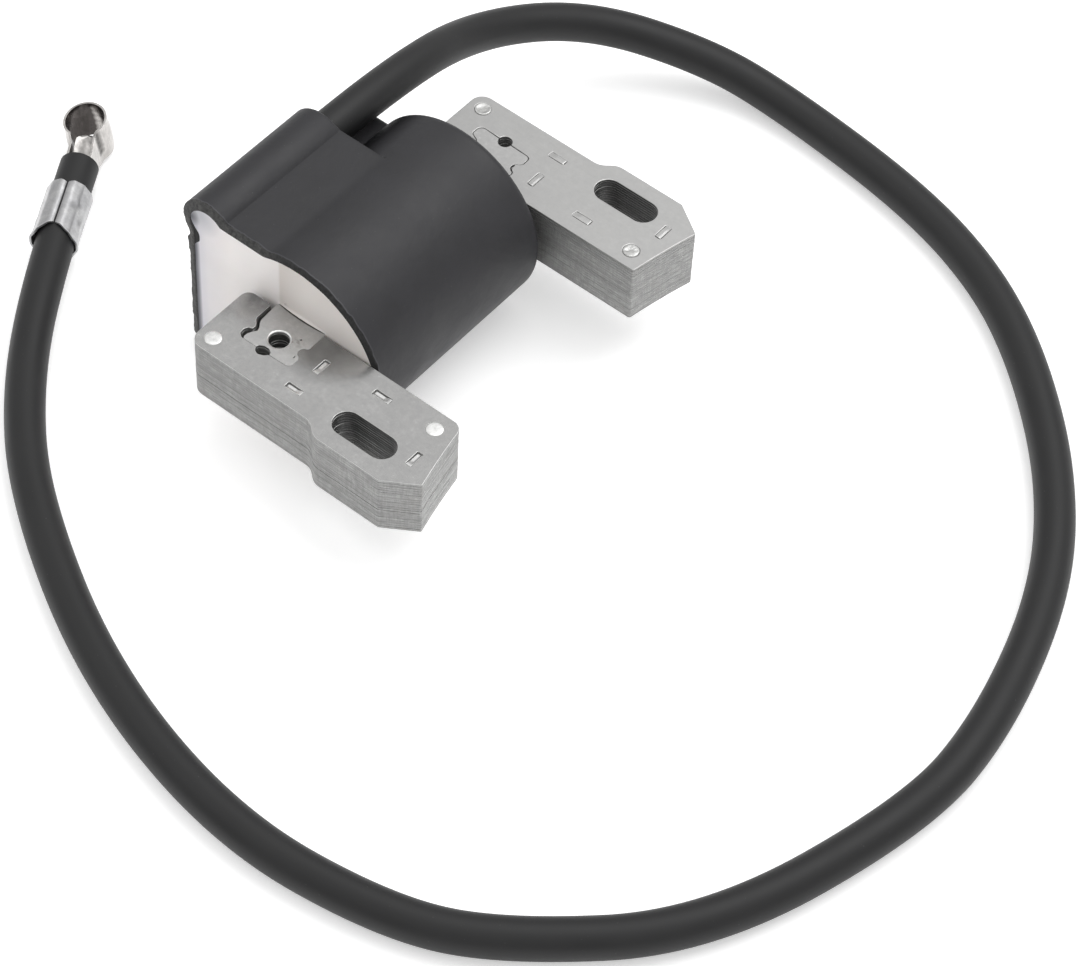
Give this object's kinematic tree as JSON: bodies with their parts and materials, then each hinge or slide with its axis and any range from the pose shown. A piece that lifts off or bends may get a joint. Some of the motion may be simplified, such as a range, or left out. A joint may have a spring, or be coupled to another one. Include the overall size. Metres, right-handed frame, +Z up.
{
  "type": "ignition coil",
  "caption": "Small-engine ignition coil: round-backed potted coil on a two-legged laminated armature with slotted feet, and a high-tension lead ending in a spring clip.",
  "frame": {"origin": "middle of the underside of the coil without its free lead", "axes": "+X along the legs to their tips, which face the flywheel; +Y along the core bar from the near leg to the far leg; +Z up, square to the laminations"},
  "size_m": [0.2111, 0.1934, 0.0377],
  "materials": {
    "lamination_steel": "matt sheared sheet steel",
    "rivet_steel": "bright headed rivet",
    "housing_plastic": "soft matt moulding",
    "potting_resin": "cast, slightly glossy off-white",
    "bobbin_plastic": "moulded",
    "magnet_wire": "enamelled copper",
    "insulating_film": "amber film",
    "board_laminate": "glass laminate",
    "component_case": "moulded case",
    "tinned_wire": "tinned",
    "contact_brass": "plain",
    "seal_rubber": "soft rubber",
    "lead_rubber": "matt extruded",
    "ferrule_zinc": "zinc-plated sheet",
    "clip_nickel": "bright nickel-plated spring steel"
  },
  "bodies": {
    "root": {"near_leg_laminations": "lamination_steel", "far_leg_laminations": "lamination_steel", "core_bar_laminations": "lamination_steel", "near_leg_rear_rivet": "rivet_steel", "near_leg_front_rivet": "rivet_steel", "far_leg_rear_rivet": "rivet_steel", "far_leg_front_rivet": "rivet_steel", "coil_housing": "housing_plastic", "potting_resin": "potting_resin", "primary_bobbin": "bobbin_plastic", "secondary_bobbin": "bobbin_plastic", "primary_winding": "magnet_wire", "secondary_winding": "magnet_wire", "trigger_winding": "magnet_wire", "interwinding_insulation": "insulating_film", "secondary_wrap": "insulating_film", "module_board": "board_laminate", "power_transistor": "component_case", "driver_transistor": "component_case", "bias_resistor": "component_case", "primary_wire": "tinned_wire", "trigger_wire": "tinned_wire", "ground_wire": "tinned_wire", "high_tension_link": "tinned_wire", "high_tension_contact": "contact_brass", "lead_end_seal": "seal_rubber", "lead_inner_end": "lead_rubber", "lead_inner_conductor": "tinned_wire", "ignition_lead": "lead_rubber", "crimp_ferrule": "ferrule_zinc", "terminal_clip": "clip_nickel"}
  },
  "joints": []
}
